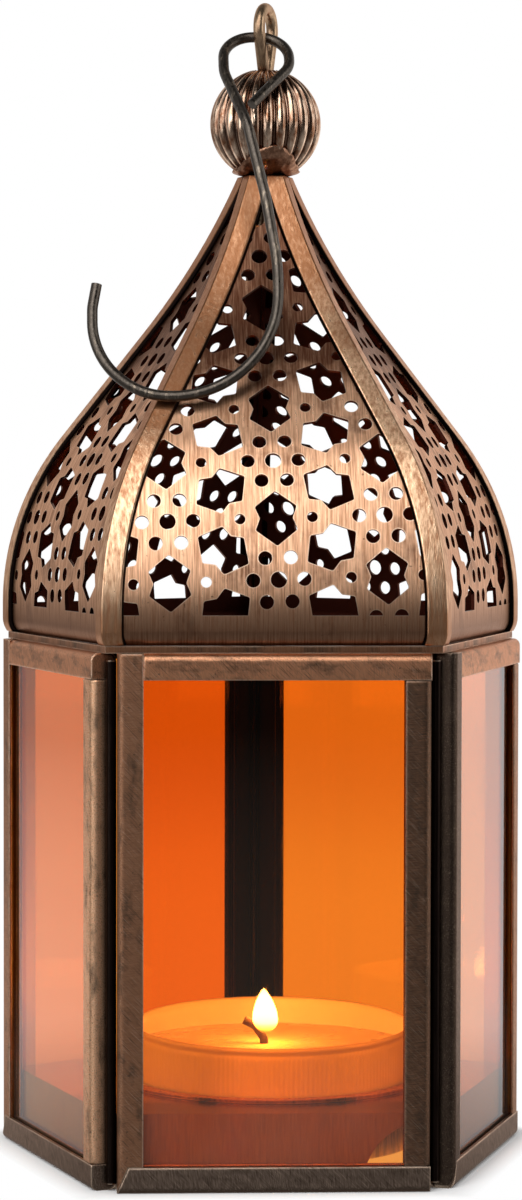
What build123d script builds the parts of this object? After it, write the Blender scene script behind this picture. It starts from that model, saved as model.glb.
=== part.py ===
from build123d import *
import os
from math import asin, atan2, cos, degrees, hypot, radians, sin, sqrt, tan

# Five-sided candle lantern: glazed body, pierced ogee roof, fluted finial and a wire hook.
# Millimetres, +Z up, origin on the standing plane under the finial, front panel facing -Y.

# Plan, shared by the body, the roof and the base
sides = 5
panel_names = ["front", "right", "back_right", "back_left", "left"]

# Glazed panels: U-shaped channel round a pane of coloured glass
panel_width = 43.0
panel_height = 74.0
channel_depth = 3.6
channel_face = 3.6
channel_sheet = 0.5
channel_round = 1.0
mitre_run = 1.6
glass_thickness = 2.0
glass_edge_clearance = 0.5
seam_gap = 0.05
corner_gap = 0.1
solder_radius = 0.7
solder_inset = 1.0

# Roof seat: the flat ring between the body and the roof
seat_thickness = 1.0
seat_inset = 1.5
seat_overhang = 2.4

# Ogee roof sheet, from the rolled hem up to the crown
roof_inset = 1.4
roof_sheet = 0.5
hem_radius = 3.0
hem_angle = 40.0
skirt_height = 2.4
shoulder_radius = 43.0
slope_angle = 34.0
flare_radius = 109.0
flare_angle = 13.4
crown_apothem = 2.8

# Corner ribs, folded strips over the joints of the roof sheets
rib_width = 2.7
rib_sheet = 0.6

# Pierced pattern: rosettes on a triangular lattice with six-pointed stars between them
lattice_pitch = 17.2
pattern_rise = 26.4
pattern_turn = 2.0
rosette_radius = 3.5
rosette_hole = 1.12
petal_hole = 0.96
lattice_hole = 0.74
star_tip = 3.95
star_shoulder = 3.35
star_waist = 2.25
star_round = 0.35
pierced_edge = 1.2
plain_band = 4.3
plain_crown = 3.0

# Finial bead and its solder collar
bead_radius = 8.0
flute_count = 24
flute_width = 1.2
flute_depth = 0.6
flute_reach = 66.0
collar_radius = 4.9
collar_height = 2.2

# Wire eye, a split pin through the bead with its ends spread under the crown
eye_wire = 1.7
eye_radius = 3.0
eye_turn = 69.5
eye_neck = 5.9
eye_leg_gap = 0.2
bore_clearance = 0.4
eye_bend = 1.5
pin_below_crown = 4.0
pin_tail = 3.4
pin_spread = 2.2

# Hook: a loop hung in the eye and leaning on the bead, a shank bent down over the roof, and a bow
hook_wire = 1.5
hook_drop = 1.15
hook_forward = 0.7
hook_aside = 0.3
hook_bead_clearance = 0.12
hook_roof_clearance = 0.45
loop_width = 9.4
loop_right = 3.2
loop_flat = 0.6
loop_straight = 1.9
loop_end_down = 14.2
loop_end_left = 2.4
loop_end_round = 4.0
knee_down = 7.4
knee_round = 8.0
elbow_down = 18.0
elbow_left = 3.1
elbow_round = 8.0
waist_down = 29.0
waist_left = 0.6
waist_round = 40.0
shank_right = 1.0
shank_straight = 4.0
shank_round = 30.0
hook_length = 57.9
bow_width = 25.9
bow_round = 14.9
bow_flat = 0.3
tip_straight = 2.0
tip_length = 3.4
tip_right = 0.6
tip_bend = 6.0

# Push-fit base pan with flaps folded down, and the round well that holds the candle
pan_clearance = 0.2
pan_sheet = 0.5
pan_lift = 0.3
pan_height = 10.5
pan_strap = 0.7
well_depth = 8.4
well_lip = 1.4
candle_clearance = 0.4
stand_gap = 0.1

# Tealight, set a little to the right with its well, while the wick stands on the lantern's axis
candle_shift = 1.1
cup_radius = 20.0
cup_height = 16.0
cup_wall = 0.35
wax_drop = 2.6
wax_gap = 0.02
tab_radius = 6.0
tab_sheet = 0.3
tab_neck_radius = 1.3
tab_neck_height = 2.6
wick_radius = 0.6
wick_rise = 0.7
wick_height = 2.6
wick_lean = 1.3
wick_curl = 1.6
wick_curl_rise = 0.8
wick_bend = 1.2

# Sizes that follow from the ones above
step_angle = 360 / sides
half_angle = step_angle / 2
corner_start = half_angle - 90
corner_tan = tan(radians(half_angle))
corner_cos = cos(radians(half_angle))
corner_sin = sin(radians(half_angle))
half_width = panel_width / 2
body_inner = half_width / corner_tan + corner_gap
body_outer = body_inner + channel_depth
channel_middle = body_inner + channel_depth / 2
slot_depth = channel_depth - 2 * channel_sheet
cut_reach = 2 * body_outer

roof_base = panel_height + seat_thickness + seam_gap
roof_apothem = body_outer - roof_inset
slope_lean = radians(slope_angle)
crown_lean = radians(slope_angle - flare_angle)
shoulder_drop = shoulder_radius * (1 - cos(slope_lean))
flare_drop = flare_radius * (cos(crown_lean) - cos(slope_lean))
slope_drop = roof_apothem - shoulder_drop - flare_drop - crown_apothem
slope_length = slope_drop / sin(slope_lean)
rib_outer = seam_gap + rib_sheet

hem_end = hem_radius * radians(hem_angle)
skirt_end = hem_end + skirt_height
shoulder_end = skirt_end + shoulder_radius * slope_lean
slope_end = shoulder_end + slope_length
roof_length = slope_end + flare_radius * radians(flare_angle)

os.makedirs("parts", exist_ok=True)


def write_ring(master, name):
    """One copy of a front piece on each side of the lantern, each a node of its own."""
    for index, side in enumerate(panel_names):
        piece = master.rotate(Axis.Z, index * step_angle)
        piece.label = f"{side}_{name}"
        export_step(piece, f"parts/{piece.label}.step")


def plan_polygon(apothem, mode=Mode.ADD):
    """The lantern's plan at a distance from the axis, with a flat side to the front."""
    return RegularPolygon(apothem, sides, major_radius=False, rotation=corner_start, mode=mode)


# Panel channels: the left stile runs full height, the rails lap over the right stile with closed ends
with BuildPart() as left_stile:
    with BuildSketch() as stile_section:
        with Locations((-half_width + channel_face / 2, -channel_middle)):
            Rectangle(channel_face, channel_depth)
        fillet(stile_section.vertices().group_by(Axis.X)[0], channel_round)
        with Locations((-half_width + (channel_face + channel_sheet) / 2, -channel_middle)):
            Rectangle(channel_face - channel_sheet, slot_depth, mode=Mode.SUBTRACT)
    extrude(amount=panel_height)
    with BuildSketch(Plane.XZ):
        with BuildLine():
            Polyline(
                (-half_width - seam_gap, 0),
                (-half_width + mitre_run - seam_gap, channel_face + seam_gap),
                (0, channel_face + seam_gap),
                (0, 0),
                close=True,
            )
        make_face()
    extrude(amount=cut_reach, mode=Mode.SUBTRACT)

with BuildPart() as right_stile:
    with BuildSketch(Plane.XY.offset(channel_face + seam_gap)) as stile_section:
        with Locations((half_width - channel_face / 2, -channel_middle)):
            Rectangle(channel_face, channel_depth)
        fillet(stile_section.vertices().group_by(Axis.X)[-1], channel_round)
        with Locations((half_width - (channel_face + channel_sheet) / 2, -channel_middle)):
            Rectangle(channel_face - channel_sheet, slot_depth, mode=Mode.SUBTRACT)
    extrude(amount=panel_height - 2 * channel_face - 2 * seam_gap)

with BuildPart() as bottom_rail:
    with BuildSketch(Plane.YZ.offset(-half_width)) as rail_section:
        with Locations((-channel_middle, channel_face / 2)):
            Rectangle(channel_depth, channel_face)
        fillet(rail_section.vertices().group_by(Axis.Y)[0], channel_round)
    extrude(amount=panel_width)
    with BuildSketch(Plane.YZ.offset(-half_width)):
        with Locations((-channel_middle, (channel_face + channel_sheet) / 2)):
            Rectangle(slot_depth, channel_face - channel_sheet)
    extrude(amount=panel_width - channel_sheet, mode=Mode.SUBTRACT)
    with BuildSketch(Plane.XZ):
        with BuildLine():
            Polyline(
                (-half_width, 0),
                (-half_width + mitre_run, channel_face),
                (-panel_width, channel_face),
                (-panel_width, 0),
                close=True,
            )
        make_face()
    extrude(amount=cut_reach, mode=Mode.SUBTRACT)

with BuildPart() as top_rail:
    rail_start = -half_width + channel_face + seam_gap
    with BuildSketch(Plane.YZ.offset(rail_start)) as rail_section:
        with Locations((-channel_middle, panel_height - channel_face / 2)):
            Rectangle(channel_depth, channel_face)
        fillet(rail_section.vertices().group_by(Axis.Y)[-1], channel_round)
    extrude(amount=half_width - rail_start)
    with BuildSketch(Plane.YZ.offset(rail_start)):
        with Locations((-channel_middle, panel_height - (channel_face + channel_sheet) / 2)):
            Rectangle(slot_depth, channel_face - channel_sheet)
    extrude(amount=half_width - channel_sheet - rail_start, mode=Mode.SUBTRACT)

with BuildPart() as pane:
    pane_margin = channel_sheet + glass_edge_clearance
    with Locations((0, -channel_middle, panel_height / 2)):
        Box(panel_width - 2 * pane_margin, glass_thickness, panel_height - 2 * pane_margin)

write_ring(left_stile.part, "panel_left_stile")
write_ring(right_stile.part, "panel_right_stile")
write_ring(bottom_rail.part, "panel_bottom_rail")
write_ring(top_rail.part, "panel_top_rail")
write_ring(pane.part, "panel_pane")

# Solder run down each corner of the body, between the backs of two stiles
with BuildPart() as corner_solder:
    solder_away = (half_width + solder_radius + seam_gap) / corner_sin
    with BuildSketch(Plane.XY.offset(solder_inset)):
        with PolarLocations(solder_away, sides, start_angle=corner_start):
            Circle(solder_radius)
    extrude(amount=panel_height - 2 * solder_inset)
corner_solder.part.label = "corner_solder"
export_step(corner_solder.part, "parts/corner_solder.step")

# Roof seat on the five top rails
with BuildPart() as roof_seat:
    with BuildSketch(Plane.XY.offset(panel_height)):
        plan_polygon(body_outer - seat_inset)
        plan_polygon(body_inner - seat_overhang, mode=Mode.SUBTRACT)
    extrude(amount=seat_thickness)
roof_seat.part.label = "roof_seat"
export_step(roof_seat.part, "parts/roof_seat.step")


def ogee_point(run):
    """Distance from the axis, height and inward lean of the roof at a length up its face."""
    skirt_base = roof_base + hem_radius * sin(radians(hem_angle))
    if run < hem_end:
        lean = run / hem_radius - radians(hem_angle)
        away = roof_apothem - hem_radius * (1 - cos(lean))
        return away, skirt_base + hem_radius * sin(lean), lean
    if run < skirt_end:
        return roof_apothem, skirt_base + run - hem_end, 0.0
    skirt_top = skirt_base + skirt_height
    if run < shoulder_end:
        lean = (run - skirt_end) / shoulder_radius
        away = roof_apothem - shoulder_radius * (1 - cos(lean))
        return away, skirt_top + shoulder_radius * sin(lean), lean
    shoulder_away = roof_apothem - shoulder_drop
    shoulder_top = skirt_top + shoulder_radius * sin(slope_lean)
    if run < slope_end:
        along = run - shoulder_end
        away = shoulder_away - along * sin(slope_lean)
        return away, shoulder_top + along * cos(slope_lean), slope_lean
    slope_top = shoulder_top + slope_length * cos(slope_lean)
    lean = slope_lean - (run - slope_end) / flare_radius
    away = shoulder_away - slope_drop - flare_radius * (cos(lean) - cos(slope_lean))
    return away, slope_top + flare_radius * (sin(slope_lean) - sin(lean)), lean


def ogee_chain(off):
    """The roof's profile from hem to crown, moved out from the sheet's face by a distance."""
    away, height, lean = ogee_point(0)
    start = (-away - off * cos(lean), height + off * sin(lean))
    hem = JernArc(start, (sin(lean), cos(lean)), hem_radius + off, -hem_angle)
    skirt = Line(hem @ 1, hem @ 1 + Vector(0, skirt_height))
    shoulder = JernArc(skirt @ 1, skirt % 1, shoulder_radius + off, -slope_angle)
    slope = Line(shoulder @ 1, shoulder @ 1 + (shoulder % 1) * slope_length)
    flare = JernArc(slope @ 1, slope % 1, flare_radius - off, flare_angle)
    return start, flare @ 1


def ogee_strip(inside, outside):
    """Face between two profiles of the roof, in the lantern's YZ plane."""
    with BuildSketch(Plane.YZ) as strip:
        with BuildLine():
            inner_start, inner_end = ogee_chain(inside)
            outer_start, outer_end = ogee_chain(outside)
            Line(inner_start, outer_start)
            Line(inner_end, outer_end)
        make_face()
    return strip.sketch


def corner_plane(side, shift):
    """Upright plane through a corner of the roof, moved sideways, facing away from the front."""
    normal = Vector(side * corner_cos, corner_sin, 0)
    return Plane(origin=normal * shift, x_dir=(0, 0, 1), z_dir=normal)


def turned(across, along, angle):
    """A place in the pattern turned about the pattern's centre."""
    c = cos(radians(angle))
    s = sin(radians(angle))
    return across * c - along * s, across * s + along * c


def star_points():
    """Outline of a six-pointed opening, long way up and nicked at its waist, about its own centre."""
    half = [(star_waist, 0), (star_shoulder, 30), (star_tip, 90), (star_shoulder, 150)]
    return [turned(reach, 0, angle + turn) for turn in (0, 180) for reach, angle in half]


def rosette_centres():
    """Places of the rosettes: across the sheet and along its developed length."""
    rows = int(roof_length / lattice_pitch) + 2
    columns = int(panel_width / lattice_pitch) + 1
    for column in range(-columns, columns + 1):
        for row in range(-rows, rows + 1):
            across = column * lattice_pitch * sqrt(3) / 2
            along = (row + (column % 2) / 2) * lattice_pitch
            yield turned(across, along, pattern_turn)


def pattern_openings():
    """Every opening: its place, its half size, and the turn of a star or None for a round hole."""
    for across, along in rosette_centres():
        yield across, along, rosette_hole, None
        for petal in range(6):
            shift = turned(rosette_radius, 0, petal * 60 + pattern_turn)
            yield across + shift[0], along + shift[1], petal_hole, None
        for link in (30, 90, 150):
            shift = turned(lattice_pitch / 2, 0, link + pattern_turn)
            yield across + shift[0], along + shift[1], star_tip, link - 90 + pattern_turn
        for gap in (0, 60):
            shift = turned(lattice_pitch / sqrt(3), 0, gap + pattern_turn)
            yield across + shift[0], along + shift[1], lattice_hole, None


def pierced_half(run):
    """Half the width that may be pierced at a length up the sheet's face."""
    return ogee_point(run)[0] * corner_tan - pierced_edge


def reaches_sheet(across, along, size):
    """Whether a good part of an opening lies inside the sheet's plain margins."""
    run = pattern_rise + along
    if run + size / 2 < plain_band or run - size / 2 > roof_length - plain_crown:
        return False
    return abs(across) - size / 2 < pierced_half(run)


def punch(across, along, size, star_turn):
    """Cutter for one opening, square to the sheet and kept inside its plain margins."""
    run = pattern_rise + along
    away, height, lean = ogee_point(run)
    bottom = max(plain_band - run, -2 * size)
    top = min(roof_length - plain_crown - run, 2 * size)
    low_half = pierced_half(run + bottom)
    high_half = pierced_half(run + top)
    margins = [(-low_half, bottom), (low_half, bottom), (high_half, top), (-high_half, top)]
    outward = (0, -cos(lean), sin(lean))
    with BuildSketch(Plane(origin=(0, -away, height), x_dir=(1, 0, 0), z_dir=outward)) as opening:
        with Locations((across, 0)):
            if star_turn is None:
                Circle(size)
            else:
                Polygon(*star_points(), rotation=star_turn, align=None)
        if star_turn is not None:
            fillet(opening.vertices(), star_round)
        Polygon(*margins, align=None, mode=Mode.INTERSECT)
    return extrude(opening.sketch, amount=3 * roof_sheet, both=True, mode=Mode.PRIVATE)


# Pierced roof sheet over the front panel, and its copies
punches = [punch(*opening) for opening in pattern_openings() if reaches_sheet(*opening[:3])]
sheet_strip = ogee_strip(-roof_sheet, 0)
with BuildPart() as pierced_sheet:
    extrude(sheet_strip, amount=panel_width, both=True)
    split(bisect_by=corner_plane(1, -seam_gap), keep=Keep.BOTTOM)
    split(bisect_by=corner_plane(-1, -seam_gap), keep=Keep.BOTTOM)
    add(punches, mode=Mode.SUBTRACT)
write_ring(pierced_sheet.part, "roof_sheet")

# Folded rib over the corner on the right of the front sheet, and its copies
rib_strip = ogee_strip(seam_gap, rib_outer)
with BuildPart() as roof_rib:
    extrude(rib_strip, amount=panel_width)
    split(bisect_by=corner_plane(1, 0), keep=Keep.BOTTOM)
    split(bisect_by=corner_plane(1, -rib_width * corner_cos), keep=Keep.TOP)
    mirror(about=corner_plane(1, 0))
    split(bisect_by=Plane.XY.offset(roof_base), keep=Keep.TOP)
write_ring(roof_rib.part, "roof_rib")

# Fluted finial bead on the crown
crown_top = ogee_point(roof_length)[1]
eye_leg = (eye_wire + eye_leg_gap) / 2
bead_bore = eye_leg + eye_wire / 2 + bore_clearance
bead_seat = sqrt(bead_radius**2 - bead_bore**2)
bead_centre = crown_top + seam_gap + bead_seat
bead_top = bead_centre + bead_seat
flute_tool = (flute_width**2 / 4 + flute_depth**2) / (2 * flute_depth)
flute_path = bead_radius - flute_depth + flute_tool
flute_end = bead_radius + flute_tool
flute_shift = (flute_end**2 - flute_path**2) / (2 * (flute_path - flute_end * cos(radians(flute_reach))))
with BuildPart() as finial_bead:
    with Locations((0, 0, bead_centre)):
        Sphere(bead_radius)
        Cylinder(bead_bore, 3 * bead_radius, mode=Mode.SUBTRACT)
    for flute in range(flute_count):
        outward = Vector(1, 0, 0).rotate(Axis.Z, flute * 360 / flute_count)
        middle = Vector(0, 0, bead_centre) - outward * flute_shift
        with Locations(Plane(origin=middle, x_dir=outward, z_dir=outward.cross(Vector(0, 0, 1)))):
            Torus(flute_path + flute_shift, flute_tool, mode=Mode.SUBTRACT)
finial_bead.part.label = "finial_bead"
export_step(finial_bead.part, "parts/finial_bead.step")

# Solder collar round the foot of the bead, on the ends of the ribs
collar_base = crown_top + rib_outer * sin(crown_lean) + seam_gap
with BuildPart() as crown_collar:
    with BuildSketch(Plane.XZ):
        with BuildLine():
            Polyline(
                (bead_bore, collar_base),
                ((crown_apothem + rib_outer) / corner_cos, collar_base),
                (collar_radius, collar_base + collar_height / 2),
                (collar_radius, collar_base + collar_height),
                (bead_bore, collar_base + collar_height),
                close=True,
            )
        make_face()
    revolve(axis=Axis.Z)
    with Locations((0, 0, bead_centre)):
        Sphere(bead_radius + seam_gap, mode=Mode.SUBTRACT)
crown_collar.part.label = "crown_collar"
export_step(crown_collar.part, "parts/crown_collar.step")

# Wire eye: a teardrop loop whose legs run down through the bead and spread under the crown
eye_centre = bead_top + eye_neck
eye_slant = asin(eye_radius / hypot(eye_neck, eye_leg)) - atan2(eye_leg, eye_neck)
touch_away = eye_radius * cos(eye_slant)
touch_height = eye_centre - eye_radius * sin(eye_slant)
pin_split = crown_top - pin_below_crown
pin_end = pin_split - pin_tail
eye_across = Vector(1, 0, 0).rotate(Axis.Z, eye_turn)
eye_plane = Plane(origin=(0, 0, 0), x_dir=eye_across, z_dir=eye_across.cross(Vector(0, 0, 1)))
with BuildPart() as eye_pin:
    with BuildLine(eye_plane) as eye_line:
        FilletPolyline(
            (-eye_leg - pin_spread, pin_end),
            (-eye_leg, pin_split),
            (-eye_leg, bead_top),
            (-touch_away, touch_height),
            radius=eye_bend,
        )
        sweep_angle = 180 + 2 * degrees(eye_slant)
        CenterArc((0, eye_centre), eye_radius, 180 + degrees(eye_slant), -sweep_angle)
        FilletPolyline(
            (touch_away, touch_height),
            (eye_leg, bead_top),
            (eye_leg, pin_split),
            (eye_leg + pin_spread, pin_end),
            radius=eye_bend,
        )
    eye_path = eye_line.wires()[0]
    with BuildSketch(Plane(origin=eye_path @ 0, z_dir=eye_path % 0)):
        Circle(eye_wire / 2)
    sweep(path=eye_path)
eye_pin.part.label = "eye_pin"
export_step(eye_pin.part, "parts/eye_pin.step")

# Hook: lengths are measured down the wire's two planes from the place where it turns in the eye
pivot = Vector(-hook_aside, -hook_forward, eye_centre - hook_drop)
pivot_rise = pivot.Z - bead_centre
bead_reach = bead_radius + hook_wire / 2 + hook_bead_clearance
loop_tilt = asin(bead_reach / hypot(pivot_rise, hook_forward)) - atan2(hook_forward, pivot_rise)
loop_down = Vector(0, -sin(loop_tilt), -cos(loop_tilt))
elbow = pivot + loop_down * elbow_down
slope_away, slope_height = ogee_point(shoulder_end)[:2]
roof_reach = (rib_outer + hook_roof_clearance + hook_wire / 2) / cos(slope_lean)
roof_line = slope_away + roof_reach - (elbow.Z - slope_height) * tan(slope_lean) + elbow.Y
shank_tilt = slope_lean + asin(roof_line * cos(slope_lean) / (hook_length - elbow_down))
shank_down = Vector(0, -sin(shank_tilt), -cos(shank_tilt))


def hook_point(across, down):
    """A place on the hook's centre line, across the lantern and down the wire from the eye."""
    place = pivot + loop_down * down
    if down > elbow_down:
        place = elbow + shank_down * (down - elbow_down)
    return place + Vector(across + hook_aside, 0, 0)


loop_left = loop_right - loop_width
loop_round = (loop_width - loop_flat) / 2
bow_left = shank_right - bow_width
tip_round = bow_width - bow_round - bow_flat
tip_down = hook_length - tip_round - tip_straight
hook_corners = [
    (hook_point(loop_right, loop_round + loop_straight), loop_end_round),
    (hook_point(loop_right, 0), loop_round),
    (hook_point(loop_left, 0), loop_round),
    (hook_point(loop_left, knee_down), knee_round),
    (hook_point(-elbow_left, elbow_down), elbow_round),
    (hook_point(-waist_left, waist_down), waist_round),
    (hook_point(shank_right, hook_length - bow_round - shank_straight), shank_round),
    (hook_point(shank_right, hook_length), bow_round),
    (hook_point(bow_left, hook_length), tip_round),
    (hook_point(bow_left, tip_down), tip_bend),
]
hook_start = hook_point(-loop_end_left, loop_end_down)
hook_tip = hook_point(bow_left + tip_right, tip_down - tip_length)
with BuildPart() as hook:
    with BuildLine() as hook_line:
        corner_points = [corner for corner, bend in hook_corners]
        corner_bends = [bend for corner, bend in hook_corners]
        FilletPolyline(hook_start, *corner_points, hook_tip, radius=corner_bends)
    hook_path = hook_line.wires()[0]
    with BuildSketch(Plane(origin=hook_path @ 0, z_dir=hook_path % 0)):
        Circle(hook_wire / 2)
    sweep(path=hook_path)
hook.part.label = "hook"
export_step(hook.part, "parts/hook.step")

# Base pan: a five-sided tray turned over, pushed up between the bottom rails, with a finger notch
# at the front right corner
pan_apothem = body_inner - pan_clearance
well_inner = cup_radius + candle_clearance
well_outer = well_inner + pan_sheet
notch_radius = pan_height - pan_lift - pan_sheet - pan_strap
with BuildPart() as base_pan:
    with BuildSketch(Plane.XY.offset(pan_lift)):
        plan_polygon(pan_apothem)
    extrude(amount=pan_height - pan_lift)
    with BuildSketch(Plane.XY.offset(pan_lift)):
        plan_polygon(pan_apothem - pan_sheet)
    extrude(amount=pan_height - pan_lift - pan_sheet, mode=Mode.SUBTRACT)
    with BuildSketch(Plane.XY.offset(pan_height)):
        with Locations((candle_shift, 0)):
            Circle(well_outer + seam_gap)
    extrude(amount=-2 * pan_sheet, mode=Mode.SUBTRACT)
    with Locations((0, 0, pan_lift)):
        with PolarLocations(pan_apothem / corner_cos, 1, start_angle=corner_start):
            Sphere(notch_radius, mode=Mode.SUBTRACT)
base_pan.part.label = "base_pan"
export_step(base_pan.part, "parts/base_pan.step")

# Candle well: a drawn cup hung by its lip in the pan
well_floor = pan_height - well_depth
lip_base = pan_height + seam_gap
with BuildPart() as candle_well:
    with BuildSketch(Plane.XZ.shift_origin((candle_shift, 0, 0))):
        with BuildLine():
            Polyline(
                (0, well_floor - pan_sheet),
                (well_outer, well_floor - pan_sheet),
                (well_outer, lip_base),
                (well_outer + well_lip, lip_base),
                (well_outer + well_lip, lip_base + pan_sheet),
                (well_inner, lip_base + pan_sheet),
                (well_inner, well_floor),
                (0, well_floor),
                close=True,
            )
        make_face()
    revolve(axis=Axis((candle_shift, 0, 0), (0, 0, 1)))
candle_well.part.label = "candle_well"
export_step(candle_well.part, "parts/candle_well.step")

# Tealight: metal cup, wax, and a wick held upright by a tab under the wax
cup_base = well_floor + stand_gap
tab_base = cup_base + cup_wall + wax_gap
tab_top = tab_base + tab_sheet
wax_top = cup_base + cup_height - wax_drop
wick_base = tab_top + wax_gap
with BuildPart() as tealight_cup:
    with BuildSketch(Plane.XY.offset(cup_base)):
        with Locations((candle_shift, 0)):
            Circle(cup_radius)
    extrude(amount=cup_height)
    with BuildSketch(Plane.XY.offset(cup_base + cup_wall)):
        with Locations((candle_shift, 0)):
            Circle(cup_radius - cup_wall)
    extrude(amount=cup_height, mode=Mode.SUBTRACT)
tealight_cup.part.label = "tealight_cup"
export_step(tealight_cup.part, "parts/tealight_cup.step")

with BuildPart() as wick_tab:
    with BuildSketch(Plane.XY.offset(tab_base)):
        Circle(tab_radius)
    extrude(amount=tab_sheet)
    with BuildSketch(Plane.XY.offset(tab_top)):
        Circle(tab_neck_radius)
        Circle(wick_radius + wax_gap, mode=Mode.SUBTRACT)
    extrude(amount=tab_neck_height)
wick_tab.part.label = "wick_tab"
export_step(wick_tab.part, "parts/wick_tab.step")

with BuildPart() as tealight_wax:
    with BuildSketch(Plane.XY.offset(tab_base)):
        with Locations((candle_shift, 0)):
            Circle(cup_radius - cup_wall - wax_gap)
    extrude(amount=wax_top - tab_base)
    with BuildSketch(Plane.XY.offset(tab_base)):
        Circle(tab_radius + wax_gap)
    extrude(amount=tab_sheet + wax_gap, mode=Mode.SUBTRACT)
    with BuildSketch(Plane.XY.offset(tab_base)):
        Circle(tab_neck_radius + wax_gap)
    extrude(amount=tab_sheet + tab_neck_height + wax_gap, mode=Mode.SUBTRACT)
    with BuildSketch(Plane.XY.offset(tab_base)):
        Circle(wick_radius + wax_gap)
    extrude(amount=wax_top - tab_base, mode=Mode.SUBTRACT)
tealight_wax.part.label = "tealight_wax"
export_step(tealight_wax.part, "parts/tealight_wax.step")

with BuildPart() as wick:
    with BuildLine(Plane.XZ) as wick_line:
        FilletPolyline(
            (0, wick_base),
            (0, wax_top + wick_rise),
            (-wick_lean, wax_top + wick_height),
            (-wick_lean - wick_curl, wax_top + wick_height + wick_curl_rise),
            radius=wick_bend,
        )
    wick_path = wick_line.wires()[0]
    with BuildSketch(Plane.XY.offset(wick_base)):
        Circle(wick_radius)
    sweep(path=wick_path)
wick.part.label = "wick"
export_step(wick.part, "parts/wick.step")
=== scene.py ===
"""Looks of a five-sided candle lantern: antique copper, amber glass, a lit tealight and a wire hook."""

import math

import bmesh
import bpy
from mathutils import Euler, Matrix, Vector, noise


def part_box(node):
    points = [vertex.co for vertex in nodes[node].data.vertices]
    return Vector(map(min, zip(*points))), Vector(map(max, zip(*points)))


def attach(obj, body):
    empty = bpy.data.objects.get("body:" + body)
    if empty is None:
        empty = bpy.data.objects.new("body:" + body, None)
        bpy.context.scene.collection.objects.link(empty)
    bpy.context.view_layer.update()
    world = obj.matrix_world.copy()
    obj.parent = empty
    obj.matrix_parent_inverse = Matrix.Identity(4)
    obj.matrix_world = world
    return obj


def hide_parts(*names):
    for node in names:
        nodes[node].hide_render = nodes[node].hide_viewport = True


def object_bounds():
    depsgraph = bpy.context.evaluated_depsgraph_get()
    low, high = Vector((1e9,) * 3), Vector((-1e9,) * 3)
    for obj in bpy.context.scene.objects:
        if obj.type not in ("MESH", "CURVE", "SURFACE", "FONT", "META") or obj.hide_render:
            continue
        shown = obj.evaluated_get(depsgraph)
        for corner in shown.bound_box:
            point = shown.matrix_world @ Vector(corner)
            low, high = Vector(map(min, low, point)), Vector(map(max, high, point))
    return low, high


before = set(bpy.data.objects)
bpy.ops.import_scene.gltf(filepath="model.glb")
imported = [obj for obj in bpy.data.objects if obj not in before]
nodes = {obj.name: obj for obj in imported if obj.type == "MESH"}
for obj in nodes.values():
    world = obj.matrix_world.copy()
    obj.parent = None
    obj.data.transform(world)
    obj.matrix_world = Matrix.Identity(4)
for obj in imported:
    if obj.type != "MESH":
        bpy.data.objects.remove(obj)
cad_low, cad_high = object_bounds()

# Plan of the lantern, as the frame names its sides, counterclockwise from the front
SIDES = ["front", "right", "back_right", "back_left", "left"]
SIDE_TURN = math.radians(360 / len(SIDES))
PALER_SIDES = ("front", "back_right", "back_left")
MM = 0.001

# Camera: focal length in pixels of the 522 x 1200 photograph, place and aim in the lantern's frame
PHOTO_WIDTH = 522
PHOTO_HEIGHT = 1200
FOCAL_PIXELS = 3758.7
CENTRE_PIXEL = 264.6
CAMERA_DISTANCE = 0.5445
CAMERA_HEIGHT = 0.10125
CAMERA_AZIMUTH = math.radians(-2.454)
CAMERA_PITCH = math.radians(2.227)
CAMERA_ROLL = math.radians(0.11)
SENSOR = 36.0

# Colours, in linear light
COPPER = (0.92, 0.55, 0.345, 1)
COPPER_MID = (0.44, 0.215, 0.115, 1)
COPPER_DEEP = (0.30, 0.135, 0.07, 1)
COPPER_WORN = (0.90, 0.60, 0.38, 1)
# Copper worn bright; on edges it also serves as a painted highlight
RUBBED = (0.96, 0.72, 0.54, 1)
PATINA = (0.080, 0.027, 0.014, 1)
RIB_PATINA = (0.34, 0.145, 0.066, 1)
FRAME_COPPER = (0.44, 0.212, 0.117, 1)
FRAME_DEEP = (0.28, 0.138, 0.079, 1)
TOP_RAIL_COPPER = (0.78, 0.365, 0.195, 1)
TOP_RAIL_DEEP = (0.50, 0.235, 0.13, 1)
FRAME_PATINA = (0.085, 0.058, 0.042, 1)
RAIL_DULL = (0.34, 0.245, 0.19, 1)
BASE_COPPER = (0.31, 0.225, 0.155, 1)
BASE_DEEP = (0.23, 0.165, 0.11, 1)
BASE_SMOOTH = (0.86, 0.60, 0.43, 1)
BASE_EDGE = (0.70, 0.62, 0.58, 1)
EYE_COPPER = (0.62, 0.42, 0.26, 1)
EYE_DEEP = (0.30, 0.19, 0.12, 1)
LUMP_COPPER = (0.45, 0.24, 0.15, 1)
LUMP_DEEP = (0.20, 0.10, 0.06, 1)
# Dark solder, also painted shade in the corner grooves and on the right panel's left stile
SOLDER_AND_PAINTED_SHADE = (0.020, 0.012, 0.010, 1)
# Near black: painted shade on faces turned into the lantern, on the back post and in the corner grooves
PAINTED_SHADE_BLACK = (0.006, 0.0035, 0.003, 1)
# Dark patina with painted shade, for the faces turned into the roof
ROOF_INSIDE = (0.055, 0.014, 0.009, 1)
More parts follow.
